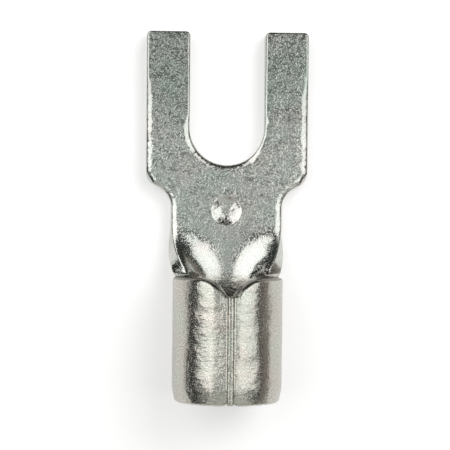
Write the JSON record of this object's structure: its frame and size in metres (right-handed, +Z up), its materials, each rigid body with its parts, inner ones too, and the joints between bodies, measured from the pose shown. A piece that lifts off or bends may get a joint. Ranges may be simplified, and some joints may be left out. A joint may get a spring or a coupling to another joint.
{
  "type": "fork terminal",
  "caption": "Bare crimp fork terminal: a flat two-tined tongue slides under a screw head, and its neck curls into a round seamed barrel that is crimped on a wire.",
  "frame": {"origin": "centre of the slot's round end, on the underside of the tongue", "axes": "+Y towards the tips of the fork, -Y along the barrel to the wire, +Z up through the barrel's seam, +X across the tines"},
  "size_m": [0.0082, 0.0184, 0.0054],
  "materials": {
    "tinned_copper": "tin-plated copper, satin with a fine grain and rubbed edges"
  },
  "bodies": {
    "root": {"fork_terminal": "tinned_copper"}
  },
  "joints": []
}
